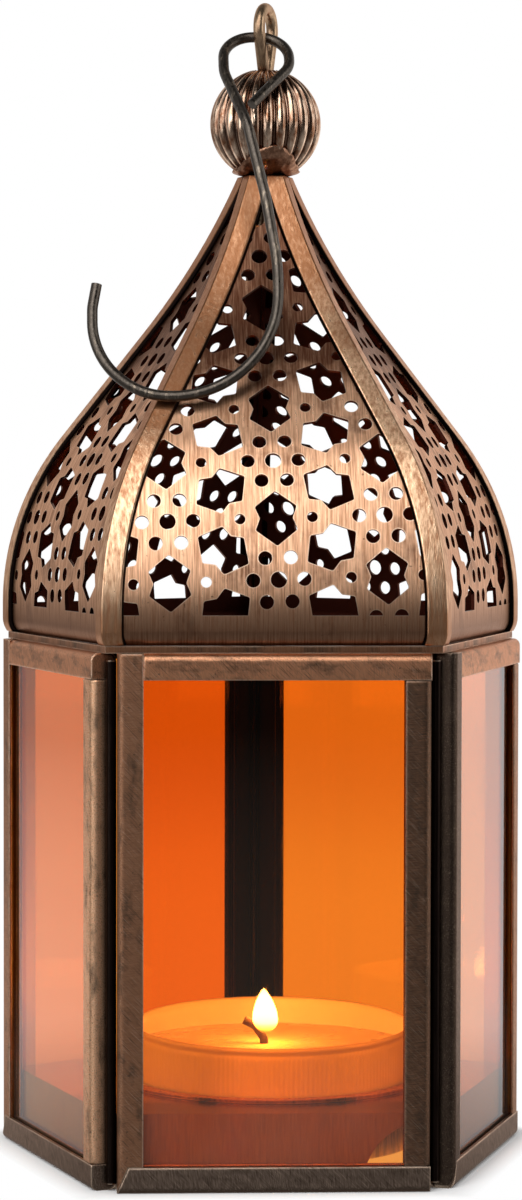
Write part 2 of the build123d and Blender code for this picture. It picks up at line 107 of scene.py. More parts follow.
# Painted glow of the candle's light, for the inner faces of the two side posts
LIT_POST = (0.62, 0.23, 0.09, 1)
COPPER_EDGE = (0.90, 0.74, 0.66, 1)
WIRE = (0.10, 0.084, 0.070, 1)
WIRE_WORN = (0.50, 0.40, 0.30, 1)
AMBER = {
    "front": (0.90, 0.31, 0.045, 1),
    "right": (0.80, 0.33, 0.08, 1),
    "back_right": (0.95, 0.47, 0.12, 1),
    "back_left": (0.86, 0.27, 0.030, 1),
    "left": (1.0, 0.52, 0.13, 1),
}
AMBER_LIT = (1.0, 0.76, 0.50, 1)
GLOW_GAIN = (1.13, 1.22, 1.28, 1)
DUST = (0.62, 0.56, 0.52, 1)
WAX = (0.93, 0.88, 0.78, 1)
WAX_DEEP = (0.86, 0.78, 0.64, 1)
ALUMINIUM = (0.92, 0.92, 0.94, 1)
ALUMINIUM_DULL = (0.86, 0.86, 0.88, 1)
CHAR = (0.012, 0.009, 0.007, 1)
CHAR_PALE = (0.10, 0.06, 0.035, 1)
FLOOR_PALE = (0.9, 0.9, 0.9, 1)
BLACK = (0, 0, 0, 1)
WHITE = (1, 1, 1, 1)
FLAME_STOPS = [
    (0.0, (1.0, 0.45, 0.15, 1)),
    (0.22, (1.0, 0.70, 0.40, 1)),
    (0.42, (1.0, 0.94, 0.82, 1)),
    (0.85, (1.0, 0.94, 0.82, 1)),
    (1.0, (1.0, 0.80, 0.50, 1)),
]

# Heights in the lantern's frame, in metres, between which a darkening, painted light and shade, the panes'
# glow or their dust comes in
SHEET_DARK_FROM = (0.106, 0.115)
RIB_DARK_FROM = (0.104, 0.122)
# Painted light on two ribs: the darkening starts higher on the rib between the front and the right side, a
# painted highlight, and lower on the rib between the left side and the front, painted shade
RIB_PAINTED_LIGHT_DARK_FROM = {"front": (0.112, 0.126), "left": (0.094, 0.104)}
# Painted shade on the roof's hem below these heights
ROOF_HEM_PAINTED_SHADE = (0.0825, 0.0770)
GLOW_BELOW = (0.057, 0.040)
GLOW_ABOVE = (0.010, 0.018)
DUST_HEIGHTS = (0.010, 0.026)

# Cosines between a face and its side, from which the face counts as turned away and takes painted shade, or
# on two posts a painted glow
DARK_POST_FACES = (0.90, 0.70)
CHANNEL_BACKS = (-0.05, -0.25)
SHEET_BACKS = (0.72, 0.60)
RIB_BACKS = (0.45, 0.30)

# Sizes of the finish and of the painted edge highlight, in metres, and the angle between the scratches and
# the brushing
RELIEF_DEPTH = 0.00006
EDGE_RUB_AND_HIGHLIGHT = 0.35 * MM
CREVICE_REACH = 1.6 * MM
SPECK_SIZE = (0.7 * MM, 0.7 * MM, 0.7 * MM)
SCRATCH_SIZE = (0.10 * MM, 0.10 * MM, 3.0 * MM)
SCRATCH_TURN = math.radians(38)
CHANNEL_BEVEL = 0.14 * MM
CHANNEL_FOLD = 0.55 * MM
RIB_BEVEL = 0.5 * MM
PAN_BEVEL = 0.6 * MM

# Softboxes: place, width and height in metres, and how bright the face looks
SOFTBOXES = {
    "front_top": ((-0.21, -0.62, 0.57), 0.58, 0.84, 3.1),
    "left_side": ((-0.70, -0.49, 0.20), 0.70, 0.80, 1.6),
    "right_side": ((0.80, -0.28, 0.34), 0.50, 0.80, 1.5),
}

# Colour and power of the candle's light, and the radius of the floor
CANDLE_LIGHT = (1.0, 0.54, 0.33)
CANDLE_WATTS = 0.0115
FLOOR_RADIUS = 6.0


# Small helpers for node trees

def new_material(name):
    """A node material with its Principled shader."""
    material = bpy.data.materials.new(name)
    material.use_nodes = True
    tree = material.node_tree
    return material, tree, tree.nodes["Principled BSDF"]


def node(tree, kind, inputs=None, **settings):
    """Adds a node, with its settings, and its inputs given as values or as sockets to link."""
    made = tree.nodes.new(kind)
    for key, value in settings.items():
        setattr(made, key, value)
    for key, value in (inputs or {}).items():
        if isinstance(value, bpy.types.NodeSocket):
            tree.links.new(value, made.inputs[key])
        else:
            made.inputs[key].default_value = value
    return made


def math_of(tree, operation, first, second=0.5):
    """Result of a math node."""
    return node(tree, "ShaderNodeMath", {0: first, 1: second}, operation=operation).outputs[0]


def mix_of(tree, factor, first, second, blend="MIX"):
    """Result of a colour mix."""
    made = node(tree, "ShaderNodeMix", {"Factor": factor}, data_type="RGBA", blend_type=blend)
    for index, value in ((6, first), (7, second)):
        if isinstance(value, bpy.types.NodeSocket):
            tree.links.new(value, made.inputs[index])
        else:
            made.inputs[index].default_value = value
    return made.outputs[2]


def range_of(tree, value, low, high, new_low, new_high):
    """A value taken from one range to another, clamped."""
    inputs = {"Value": value, "From Min": low, "From Max": high, "To Min": new_low, "To Max": new_high}
    return node(tree, "ShaderNodeMapRange", inputs).outputs[0]


def noise_of(tree, vector, size, detail=3.0, roughness=0.6):
    """Noise whose features have a given size in metres along X, Y and Z."""
    scale = [1 / length for length in size]
    stretched = node(tree, "ShaderNodeMapping", {"Vector": vector, "Scale": scale})
    inputs = {"Vector": stretched.outputs[0], "Scale": 1.0, "Detail": detail, "Roughness": roughness}
    return node(tree, "ShaderNodeTexNoise", inputs).outputs[0]


def turned_place(tree, turn):
    """Place in the lantern's frame, turned back so that a side reads as the front one."""
    place = node(tree, "ShaderNodeTexCoord").outputs["Object"]
    return node(tree, "ShaderNodeMapping", {"Vector": place, "Rotation": (0, 0, -turn)}).outputs[0]


def edge_mask(tree, radius):
    """Nearly 1 along edges, which handling rubs bright and which take a painted highlight, and 0 on flat
    faces.
    """
    rounded = node(tree, "ShaderNodeBevel", {"Radius": radius}, samples=6).outputs[0]
    plain = node(tree, "ShaderNodeNewGeometry").outputs["Normal"]
    same = node(tree, "ShaderNodeVectorMath", {0: rounded, 1: plain}, operation="DOT_PRODUCT")
    return range_of(tree, same.outputs["Value"], 0.995, 0.86, 0.0, 1.0)


def turned_away(tree, turn, start, end):
    """0 on faces that look out as their side does, 1 on faces turned away from it, by the cosines given."""
    normal = node(tree, "ShaderNodeNewGeometry").outputs["True Normal"]
    outward = (math.sin(turn), -math.cos(turn), 0)
    facing = node(tree, "ShaderNodeVectorMath", {0: normal, 1: outward}, operation="DOT_PRODUCT")
    return range_of(tree, facing.outputs["Value"], start, end, 0.0, 1.0)


def add_bump(tree, shader, height, strength, distance, fold=0.0):
    """Fine relief on a shader, with the edges rounded to a radius if a fold is given."""
    inputs = {"Height": height, "Strength": strength, "Distance": distance}
    if fold:
        inputs["Normal"] = node(tree, "ShaderNodeBevel", {"Radius": fold}, samples=6).outputs[0]
    tree.links.new(node(tree, "ShaderNodeBump", inputs).outputs[0], shader.inputs["Normal"])


# Materials

def antique_copper(name, turn, bright, deep, patina, patina_share, grain=(0.25, 4.0, 7.0), slant=0.0,
                   blotch=(5.5, 5.5, 9.0), rough=(0.40, 0.25), crevice=(0.85, 0.35), relief=0.22,
                   soot_from=None, inside=(PAINTED_SHADE_BLACK, 1.0), dark_from=None, painted_shade_below=None, scratches=0.0,
                   fold=0.0):
    """Brushed antique copper: streaks along the brushing, dark patina in patches, edges worn bright with a
    painted highlight.

    The sizes in grain and blotch are in millimetres. Patina fills the crevices. The faces that turn away
    from the side, by the two cosines in soot_from, take the colour and the share of metal in inside,
    as painted shade or glow. The colour goes over to the patina's above the two heights in dark_from, and
    painted shade darkens it below the two in painted_shade_below. Scratches, as strong as given, cross the
    brushing, and the folds have the radius in fold.
    as strong as given, cross the brushing, and the folds have the radius in fold.
    """
    material, tree, shader = new_material(name)
    place = turned_place(tree, turn)
    brushed = node(tree, "ShaderNodeMapping", {"Vector": place, "Rotation": (0, slant, 0)}).outputs[0]
    streaks = noise_of(tree, brushed, [size * MM for size in grain], 4.0, 0.65)
    fine = noise_of(tree, brushed, [size * MM * 0.35 for size in grain], 2.0, 0.5)
    patches = noise_of(tree, place, [size * MM for size in blotch], 4.0, 0.62)
    specks = noise_of(tree, place, SPECK_SIZE, 2.0, 0.5)
    metal = mix_of(tree, range_of(tree, streaks, 0.36, 0.64, 0.0, 1.0), deep, bright)
    patch_tone = range_of(tree, patches, 0.62 - patina_share, 0.80 - patina_share, 0.0, 1.0)
    streaked_patch = math_of(tree, "MULTIPLY", patch_tone, range_of(tree, streaks, 0.25, 0.60, 1.0, 0.55))
    colour = mix_of(tree, streaked_patch, metal, patina)
    colour = mix_of(tree, range_of(tree, specks, 0.70, 0.78, 0.0, 0.7), colour, patina)
    reach = {"Distance": CREVICE_REACH}
    hollow = node(tree, "ShaderNodeAmbientOcclusion", reach, samples=8).outputs["AO"]
    colour = mix_of(tree, range_of(tree, hollow, *crevice, 0.0, 0.9), colour, patina)
    # Edges worn bright by handling, which also carry a painted highlight
    rub_and_highlight = range_of(tree, patches, 0.35, 0.6, 0.25, 0.9)
    colour = mix_of(tree, math_of(tree, "MULTIPLY", edge_mask(tree, EDGE_RUB_AND_HIGHLIGHT), rub_and_highlight), colour, RUBBED)
    if scratches:
        crossing = {"Vector": place, "Rotation": (0, slant + SCRATCH_TURN, 0)}
        across = node(tree, "ShaderNodeMapping", crossing).outputs[0]
        lines = noise_of(tree, across, SCRATCH_SIZE, 3.0, 0.6)
        colour = mix_of(tree, range_of(tree, lines, 0.56, 0.68, 0.0, scratches), colour, RUBBED)
        colour = mix_of(tree, range_of(tree, lines, 0.44, 0.34, 0.0, 0.8), colour, patina)
    roughness = range_of(tree, streaks, 0.25, 0.75, *rough)
    height = node(tree, "ShaderNodeSeparateXYZ", {0: place}).outputs["Z"]
    if dark_from:
        cloudy = math_of(tree, "ADD", height, range_of(tree, patches, 0.3, 0.7, -4.0 * MM, 4.0 * MM))
        worn = range_of(tree, streaks, 0.40, 0.66, 0.98, 0.80)
        dark = math_of(tree, "MULTIPLY", range_of(tree, cloudy, *dark_from, 0.0, 1.0), worn)
        colour = mix_of(tree, dark, colour, patina)
    # Painted shade, darker below the two heights given
    if painted_shade_below:
        colour = mix_of(tree, range_of(tree, height, *painted_shade_below, 0.0, 0.72), colour, patina)
    # Painted shade, or on two posts a painted glow, on the faces turned away from the side
    if soot_from:
        away = turned_away(tree, turn, *soot_from)
        colour = mix_of(tree, away, colour, inside[0])
        roughness = math_of(tree, "MAXIMUM", roughness, math_of(tree, "MULTIPLY", away, 0.35))
        if inside[1] < 1.0:
            tree.links.new(range_of(tree, away, 0.0, 1.0, 1.0, inside[1]), shader.inputs["Metallic"])
    tree.links.new(colour, shader.inputs["Base Color"])
    tree.links.new(roughness, shader.inputs["Roughness"])
    shader.inputs["Metallic"].default_value = 1.0
    shader.inputs["Specular Tint"].default_value = COPPER_EDGE
    add_bump(tree, shader, math_of(tree, "ADD", streaks, fine), relief, RELIEF_DEPTH, fold)
    return material


def base_sheet(name):
    """Copper of the base: brushed flaps, and a smooth top with painted shade on its front part."""
    material, tree, shader = new_material(name)
    place = node(tree, "ShaderNodeTexCoord").outputs["Object"]
    depth = node(tree, "ShaderNodeSeparateXYZ", {0: place}).outputs["Y"]
    normal = node(tree, "ShaderNodeNewGeometry").outputs["True Normal"]
    upward = node(tree, "ShaderNodeSeparateXYZ", {0: normal}).outputs["Z"]
    streaks = noise_of(tree, place, (0.2 * MM, 0.2 * MM, 3.0 * MM), 3.0, 0.5)
    clouds = noise_of(tree, place, (7.0 * MM, 7.0 * MM, 7.0 * MM), 3.0, 0.55)
    colour = mix_of(tree, range_of(tree, streaks, 0.33, 0.70, 0.0, 1.0), BASE_DEEP, BASE_COPPER)
    colour = mix_of(tree, range_of(tree, clouds, 0.50, 0.75, 0.0, 0.5), colour, COPPER_DEEP)
    top = range_of(tree, upward, 0.08, 0.50, 0.0, 1.0)
    colour = mix_of(tree, top, colour, BASE_SMOOTH)
    # Painted shade on the front part of the top, under the candle
    front_painted_shade = math_of(tree, "MULTIPLY", top, range_of(tree, depth, -22 * MM, -12 * MM, 0.9, 0.0))
    tree.links.new(mix_of(tree, front_painted_shade, colour, PATINA), shader.inputs["Base Color"])
    brushed = range_of(tree, streaks, 0.3, 0.7, 0.60, 0.48)
    smooth = math_of(tree, "MULTIPLY", brushed, range_of(tree, top, 0.0, 1.0, 1.0, 0.35))
    tree.links.new(smooth, shader.inputs["Roughness"])
    tree.links.new(range_of(tree, top, 0.0, 1.0, 0.88, 1.0), shader.inputs["Metallic"])
    shader.inputs["Specular Tint"].default_value = BASE_EDGE
    add_bump(tree, shader, streaks, 0.15, 0.00005)
    return material


def dark_wire(name):
    """Bronzed wire, dark with rubbed streaks along its length."""
    material, tree, shader = new_material(name)
    place = node(tree, "ShaderNodeTexCoord").outputs["Object"]
    rubs = noise_of(tree, place, (1.1 * MM, 1.1 * MM, 5.0 * MM), 4.0, 0.7)
    grit = noise_of(tree, place, (0.3 * MM, 0.3 * MM, 0.5 * MM), 2.0, 0.5)
    colour = mix_of(tree, range_of(tree, rubs, 0.56, 0.76, 0.0, 0.8), WIRE, WIRE_WORN)
    tree.links.new(colour, shader.inputs["Base Color"])
    tree.links.new(range_of(tree, grit, 0.3, 0.7, 0.26, 0.48), shader.inputs["Roughness"])
    shader.inputs["Metallic"].default_value = 1.0
    add_bump(tree, shader, math_of(tree, "ADD", rubs, grit), 0.25, 0.00008)
    return material


def amber_glass(name, tint, paler_by_flame):
    """Clear amber glass with faint handling marks and a dusty foot, which lets the lamps light the inside.

    A pane in front of or behind the flame is a little paler round its height, as its glow makes it.
    """
    material, tree, shader = new_material(name)
    place = node(tree, "ShaderNodeTexCoord").outputs["Object"]
    smears = noise_of(tree, place, (9.0 * MM, 9.0 * MM, 16.0 * MM), 4.0, 0.6)
    tree.links.new(range_of(tree, smears, 0.45, 0.75, 0.01, 0.07), shader.inputs["Roughness"])
    shader.inputs["Base Color"].default_value = tint
    shader.inputs["Transmission Weight"].default_value = 1.0
    shader.inputs["IOR"].default_value = 1.5
    height = node(tree, "ShaderNodeSeparateXYZ", {0: place}).outputs["Z"]
    if paler_by_flame:
        below = range_of(tree, height, *GLOW_BELOW, 0.0, 1.0)
        band = math_of(tree, "MINIMUM", below, range_of(tree, height, *GLOW_ABOVE, 0.0, 1.0))
        paler = [min(1.0, channel * gain) for channel, gain in zip(tint, GLOW_GAIN)]
        tree.links.new(mix_of(tree, band, tint, paler), shader.inputs["Base Color"])
    low = range_of(tree, height, *DUST_HEIGHTS, 0.022, 0.0)
    film = math_of(tree, "MULTIPLY", low, range_of(tree, smears, 0.3, 0.7, 0.6, 1.4))
    dust = node(tree, "ShaderNodeBsdfDiffuse", {"Color": DUST})
    dusty = node(tree, "ShaderNodeMixShader", {0: film, 1: shader.outputs[0], 2: dust.outputs[0]})
    clear = node(tree, "ShaderNodeBsdfTransparent", {"Color": AMBER_LIT})
    shadow = node(tree, "ShaderNodeLightPath").outputs["Is Shadow Ray"]
    both = node(tree, "ShaderNodeMixShader", {0: shadow, 1: dusty.outputs[0], 2: clear.outputs[0]})
    tree.links.new(both.outputs[0], tree.nodes["Material Output"].inputs["Surface"])
    return material


def thin_aluminium(name):
    """Bright drawn sheet of the tealight's cup."""
    material, tree, shader = new_material(name)
    place = node(tree, "ShaderNodeTexCoord").outputs["Object"]
    drawn = noise_of(tree, place, (0.5 * MM, 0.5 * MM, 6.0 * MM), 3.0, 0.6)
    tree.links.new(mix_of(tree, drawn, ALUMINIUM_DULL, ALUMINIUM), shader.inputs["Base Color"])
    tree.links.new(range_of(tree, drawn, 0.3, 0.7, 0.40, 0.55), shader.inputs["Roughness"])
    shader.inputs["Metallic"].default_value = 0.40
    return material


def soft_wax(name):
    """Pale wax, wet round the wick, that lets some light through."""
    material, tree, shader = new_material(name)
    place = node(tree, "ShaderNodeTexCoord").outputs["Object"]
    cloud = noise_of(tree, place, (4.0 * MM, 4.0 * MM, 4.0 * MM), 3.0, 0.5)
    tree.links.new(mix_of(tree, cloud, WAX_DEEP, WAX), shader.inputs["Base Color"])
    tree.links.new(range_of(tree, cloud, 0.3, 0.7, 0.22, 0.42), shader.inputs["Roughness"])
    shader.inputs["Subsurface Weight"].default_value = 0.6
    shader.inputs["Subsurface Radius"].default_value = (1.0, 0.6, 0.35)
    shader.inputs["Subsurface Scale"].default_value = 0.003
    return material


def charred_cotton(name):
    """Burnt wick."""
    material, tree, shader = new_material(name)
    place = node(tree, "ShaderNodeTexCoord").outputs["Object"]
    strands = noise_of(tree, place, (0.25 * MM, 0.25 * MM, 0.6 * MM), 3.0, 0.6)
    tree.links.new(mix_of(tree, strands, CHAR, CHAR_PALE), shader.inputs["Base Color"])
    tree.links.new(range_of(tree, strands, 0.2, 0.8, 0.75, 0.95), shader.inputs["Roughness"])
    add_bump(tree, shader, strands, 0.6, 0.0002)
    return material


def candle_flame(name, low, high):
    """Flame: clear at its foot, white in the body, yellow at the tip."""
    material, tree, shader = new_material(name)
    place = node(tree, "ShaderNodeTexCoord").outputs["Object"]
    height = node(tree, "ShaderNodeSeparateXYZ", {0: place}).outputs["Z"]
    up = range_of(tree, height, low, high, 0.0, 1.0)
    ramp = node(tree, "ShaderNodeValToRGB", {"Fac": up})
    for place_on_ramp, _ in FLAME_STOPS[2:]:
        ramp.color_ramp.elements.new(place_on_ramp)
    for element, (place_on_ramp, colour) in zip(ramp.color_ramp.elements, FLAME_STOPS):
        element.position = place_on_ramp
        element.color = colour
    tree.links.new(ramp.outputs["Color"], shader.inputs["Emission Color"])
    tree.links.new(range_of(tree, up, 0.05, 0.48, 0.6, 60.0), shader.inputs["Emission Strength"])
    tree.links.new(range_of(tree, up, 0.0, 0.40, 0.0, 0.95), shader.inputs["Alpha"])
    shader.inputs["Base Color"].default_value = BLACK
    shader.inputs["Specular IOR Level"].default_value = 0.0
    return material


# Meshes

def revolved(name, rings, count):
    """Closed mesh from rings of points, where each ring is a function of the turn."""
    mesh = bpy.data.meshes.new(name)
    build = bmesh.new()
    loops = []
    for ring in rings:
        loops.append([build.verts.new(ring(2 * math.pi * step / count)) for step in range(count)])
    for lower, upper in zip(loops, loops[1:]):
        for step in range(count):
            after = (step + 1) % count
            build.faces.new((lower[step], lower[after], upper[after], upper[step]))
    build.faces.new(list(reversed(loops[0])))
    build.faces.new(loops[-1])
    bmesh.ops.recalc_face_normals(build, faces=build.faces)
    for face in build.faces:
        face.smooth = True
    build.to_mesh(mesh)
    build.free()
    piece = bpy.data.objects.new(name, mesh)
    bpy.context.scene.collection.objects.link(piece)
    return piece


def circle_ring(radius, height):
    """A level ring round the lantern's axis."""
    return lambda turn: (radius * math.cos(turn), radius * math.sin(turn), height)


def melon_bead():
    """Finial bead with convex lobes from pole to pole."""
    low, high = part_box("finial_bead")
    lobes = 24
    groove = 0.85 * MM
    radius = (high.y - low.y) / 2
    middle = (low.z + high.z) / 2
    bore = math.sqrt(radius**2 - ((high.z - low.z) / 2) ** 2)
    last = math.acos(bore / radius)
    levels = 48

    def ring_at(level):
        lean = -last + 2 * last * level / levels
        depth = groove * math.cos(lean) ** 0.8

        def point(turn):
            lobe = abs(math.cos(lobes / 2 * turn)) ** 0.65
            away = radius - depth * (1 - lobe)
            reach = away * math.cos(lean)
            return (reach * math.cos(turn), reach * math.sin(turn), middle + away * math.sin(lean))

        return point

    outside = [ring_at(level) for level in range(levels + 1)]
    piece = revolved("melon_bead", outside, lobes * 12)
    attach(piece, "lantern")
    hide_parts("finial_bead")
    return piece


def solder_lump():
    """Lumpy solder run round the foot of the bead, highest at the front."""
    bead_low, bead_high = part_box("finial_bead")
    foot_low, foot_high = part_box("crown_collar")
    radius = (bead_high.y - bead_low.y) / 2
    middle = (bead_low.z + bead_high.z) / 2
    front = math.radians(-84)
    front_rise = 2.9
    levels = 14

    def top_of(turn):
        ahead = max(0.0, math.cos(turn - front))
        lump = noise.noise(Vector((math.cos(turn) * 2.1, math.sin(turn) * 2.1, 3.7)))
        return foot_high.z + (front_rise * ahead**5 + 0.5 * lump + 0.2) * MM

    def ring_at(level):
        share = level / levels

        def point(turn):
            height = foot_low.z + (top_of(turn) - foot_low.z) * share
            offset = max(-radius, min(radius, height - middle))
            bead_away = math.sqrt(max(0.0, radius**2 - offset**2))
            away = max(bead_away, (3.2 + 1.3 * math.sin(math.pi * min(1, share * 1.5) / 2)) * MM)
            grain = Vector((math.cos(turn) * 5.5, math.sin(turn) * 5.5, height / MM * 1.1))
            lump = noise.noise(grain) * 0.22 + noise.noise(grain * 2.7) * 0.10
            swell = (0.42 * math.sin(math.pi * (0.12 + 0.86 * share)) + lump) * MM
            out = away + swell - 0.25 * MM * share**6
            return (out * math.cos(turn), out * math.sin(turn), height)

        return point

    bore = 2.6 * MM
    rings = [circle_ring(bore, foot_low.z)] + [ring_at(level) for level in range(levels + 1)]
    piece = revolved("solder_lump", rings + [circle_ring(bore, foot_high.z)], 120)
    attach(piece, "lantern")
    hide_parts("crown_collar")
    return piece


def pleated_cup():
    """Tealight cup of thin sheet: a rounded foot, fine pleats and a rolled rim, higher at the back."""
    low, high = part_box("tealight_cup")
    centre = (low + high) / 2
    radius = (high.x - low.x) / 2
    pleats = 180
    wall = 0.3 * MM
    rim_rise = 0.52 * MM
    rim_slope = 0.85 * MM

    def ring(inset, height, depth):
        share = (height - low.z) / (high.z - low.z)

        def point(turn):
            away = radius - inset - depth * (0.5 - 0.5 * math.cos(pleats * turn))
            raised = height + share * (rim_rise + rim_slope * math.sin(turn))
            return (centre.x + away * math.cos(turn), centre.y + away * math.sin(turn), raised)

        return point

    pleat = 0.045 * MM
    rings = [
        ring(1.2 * MM, low.z, 0),
        ring(0.5 * MM, low.z + 0.2 * MM, 0),
        ring(0.15 * MM, low.z + 0.8 * MM, pleat / 2),
        ring(0.10 * MM, low.z + 2.0 * MM, pleat),
        ring(0.10 * MM, high.z - 1.9 * MM, pleat),
        ring(0.12 * MM, high.z - 1.3 * MM, pleat / 3),
        ring(0.22 * MM, high.z - 1.05 * MM, 0),
        ring(0.02 * MM, high.z - 0.75 * MM, 0),
        ring(0.0, high.z - 0.45 * MM, 0),
        ring(0.05 * MM, high.z - 0.1 * MM, 0),
        ring(0.20 * MM, high.z, 0),
        ring(0.36 * MM, high.z - 0.25 * MM, 0),
        ring(0.10 * MM + wall, high.z - 1.2 * MM, 0),
        ring(0.10 * MM + wall, low.z + 0.6 * MM, 0),
        ring(0.8 * MM + wall, low.z + wall, 0),
    ]
    piece = revolved("pleated_cup", rings, pleats * 6)
    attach(piece, "tealight")
    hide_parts("tealight_cup")
    return piece


def flame_shape():
    """Teardrop of flame round the wick."""
    wax_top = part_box("tealight_wax")[1].z
    foot = wax_top + 1.2 * MM
    tip = wax_top + 8.0 * MM
    width = 1.85 * MM
    widest = 0.32
    levels = 24

    def ring_at(level):
        share = 0.5 - 0.5 * math.cos(math.pi * (level + 0.5) / (levels + 1))
        if share < widest:
            swell = math.sin(math.pi / 2 * share / widest) ** 0.8
        else:
            swell = math.cos(math.pi / 2 * (share - widest) / (1 - widest)) ** 0.8
        drift = 0.25 * MM * share**2

        def point(turn):
            reach = width * swell
            height = foot + (tip - foot) * share
            return (reach * math.cos(turn) - drift + 0.2 * MM, reach * math.sin(turn), height)

        return point

    piece = revolved("flame", [ring_at(level) for level in range(levels + 1)], 32)
    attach(piece, "tealight")
    piece.data.materials.append(candle_flame("candle_flame", foot, tip))
    piece.visible_shadow = False
    piece.visible_diffuse = False
    return piece, Vector((0, 0, (foot * 0.45 + tip * 0.55)))


def soften_edges(name, width, segments=2):
    """Eases the sharp edges of a sheet-metal piece, as its folds are."""
    piece = nodes[name]
    weld = piece.modifiers.new("weld", "WELD")
    weld.merge_threshold = 1e-6
    bevel = piece.modifiers.new("bevel", "BEVEL")
    bevel.width = width
    bevel.segments = segments
    bevel.limit_method = "ANGLE"
    bevel.angle_limit = math.radians(35)
    bevel.use_clamp_overlap = True
    normals = piece.modifiers.new("normals", "WEIGHTED_NORMAL")
    normals.keep_sharp = True
    for face in piece.data.polygons:
        face.use_smooth = True


def dress(name, material):
    """Gives a piece of the frame its material."""
    piece = nodes[name]
    piece.data.materials.clear()
    piece.data.materials.append(material)


# Dressing of the frame's pieces

def dress_body():
    """Channels, panes, solder and roof seat of the glazed body."""
    channel_tones = {
        "left_stile": (FRAME_COPPER, FRAME_DEEP),
        "right_stile": (FRAME_COPPER, FRAME_DEEP),
        "bottom_rail": (RAIL_DULL, FRAME_PATINA),
        "top_rail": (TOP_RAIL_COPPER, TOP_RAIL_DEEP),
    }
    # Lit and shaded copies of the frame's copper: a painted highlight on the left panel's right stile,
    # painted shade on the front panel's right stile and on the right panel's left stile
    painted_light_tones = {
        "front_panel_right_stile": (FRAME_DEEP, FRAME_PATINA),
        "left_panel_right_stile": (COPPER_WORN, TOP_RAIL_COPPER),
        "right_panel_left_stile": (FRAME_PATINA, SOLDER_AND_PAINTED_SHADE),
    }
    # The back post's two stiles take painted shade almost all round; the inner faces of the two side posts
    # take a painted glow of the candle instead
    dark_posts = ("back_right_panel_right_stile", "back_left_panel_left_stile")
    lit_posts = ("back_right_panel_left_stile", "back_left_panel_right_stile")
    for index, side in enumerate(SIDES):
        turn = index * SIDE_TURN
        for part, tones in channel_tones.items():
            name = f"{side}_panel_{part}"
            bright, deep = painted_light_tones.get(name, tones)
            upright = part.endswith("stile")
            channel = antique_copper(
                f"{part}_copper_{side}", turn, bright, deep, FRAME_PATINA, 0.10,
                grain=(1.8, 0.09, 0.09) if upright else (0.09, 0.09, 1.8),
                blotch=(1.8, 1.8, 4.5) if upright else (4.5, 1.8, 1.8),
                slant=math.radians(7), rough=(0.42, 0.26), scratches=0.22, fold=CHANNEL_FOLD,
                soot_from=DARK_POST_FACES if name in dark_posts else CHANNEL_BACKS,
                inside=(LIT_POST, 0.0) if name in lit_posts else (PAINTED_SHADE_BLACK, 1.0),
            )
            dress(name, channel)
            soften_edges(name, CHANNEL_BEVEL)
        dress(f"{side}_panel_pane", amber_glass(f"amber_glass_{side}", AMBER[side], side in PALER_SIDES))
    # Corner solder in near black: dark solder with painted shade of the corner grooves
    dress("corner_solder", antique_copper("dark_solder", 0, SOLDER_AND_PAINTED_SHADE, PAINTED_SHADE_BLACK, PAINTED_SHADE_BLACK, 0.1))
    dress("roof_seat", antique_copper("seat_copper", 0, FRAME_COPPER, COPPER_DEEP, FRAME_PATINA, 0.18))


def dress_roof():
    """Pierced sheets, ribs, bead, solder and eye."""
    for index, side in enumerate(SIDES):
        turn = index * SIDE_TURN
        # Roof sheets: inner faces in dark patina with painted shade, and painted shade on the hem
        sheet = antique_copper(f"sheet_{side}", turn, COPPER, COPPER_MID, PATINA, 0.06,
                               soot_from=SHEET_BACKS, inside=(ROOF_INSIDE, 1.0),
                               dark_from=SHEET_DARK_FROM, painted_shade_below=ROOF_HEM_PAINTED_SHADE)
        dress(f"{side}_roof_sheet", sheet)
        rib = antique_copper(f"rib_{side}", turn + SIDE_TURN / 2, COPPER_WORN, COPPER_MID, RIB_PATINA, 0.05,
                             grain=(0.5, 0.5, 4.5), relief=0.28, soot_from=RIB_BACKS,
                             dark_from=RIB_PAINTED_LIGHT_DARK_FROM.get(side, RIB_DARK_FROM),
                             painted_shade_below=ROOF_HEM_PAINTED_SHADE)
        dress(f"{side}_roof_rib", rib)
        soften_edges(f"{side}_roof_rib", RIB_BEVEL, 4)
    bead = melon_bead()
    bead.data.materials.append(
        antique_copper("bead_copper", 0, RUBBED, COPPER_DEEP, PATINA, 0.02, grain=(1.2, 1.2, 2.5),
                       rough=(0.26, 0.17), crevice=(0.97, 0.66), relief=0.10))
    lump = solder_lump()
    lump.data.materials.append(
        antique_copper("lump_solder", 0, LUMP_COPPER, LUMP_DEEP, PATINA, 0.10, grain=(0.6, 0.6, 0.6)))
    dress("eye_pin", antique_copper("eye_copper", 0, EYE_COPPER, EYE_DEEP, PATINA, 0.06,
                                    grain=(0.5, 0.5, 3.0)))


def dress_base_and_candle():
    """Base pan, candle well, tealight and flame; returns the flame and its middle."""
    dress("base_pan", base_sheet("base_copper"))
    soften_edges("base_pan", PAN_BEVEL, 4)
    well = antique_copper("well_copper", 0, BASE_SMOOTH, BASE_COPPER, PATINA, 0.0,
                          grain=(0.5, 0.5, 5.0), rough=(0.35, 0.25))
    dress("candle_well", well)
    pleated_cup().data.materials.append(thin_aluminium("cup_aluminium"))
    dress("tealight_wax", soft_wax("wax"))
    dress("wick_tab", thin_aluminium("tab_tin"))
    dress("wick", charred_cotton("wick_cotton"))
    return flame_shape()


# Stage, light and camera

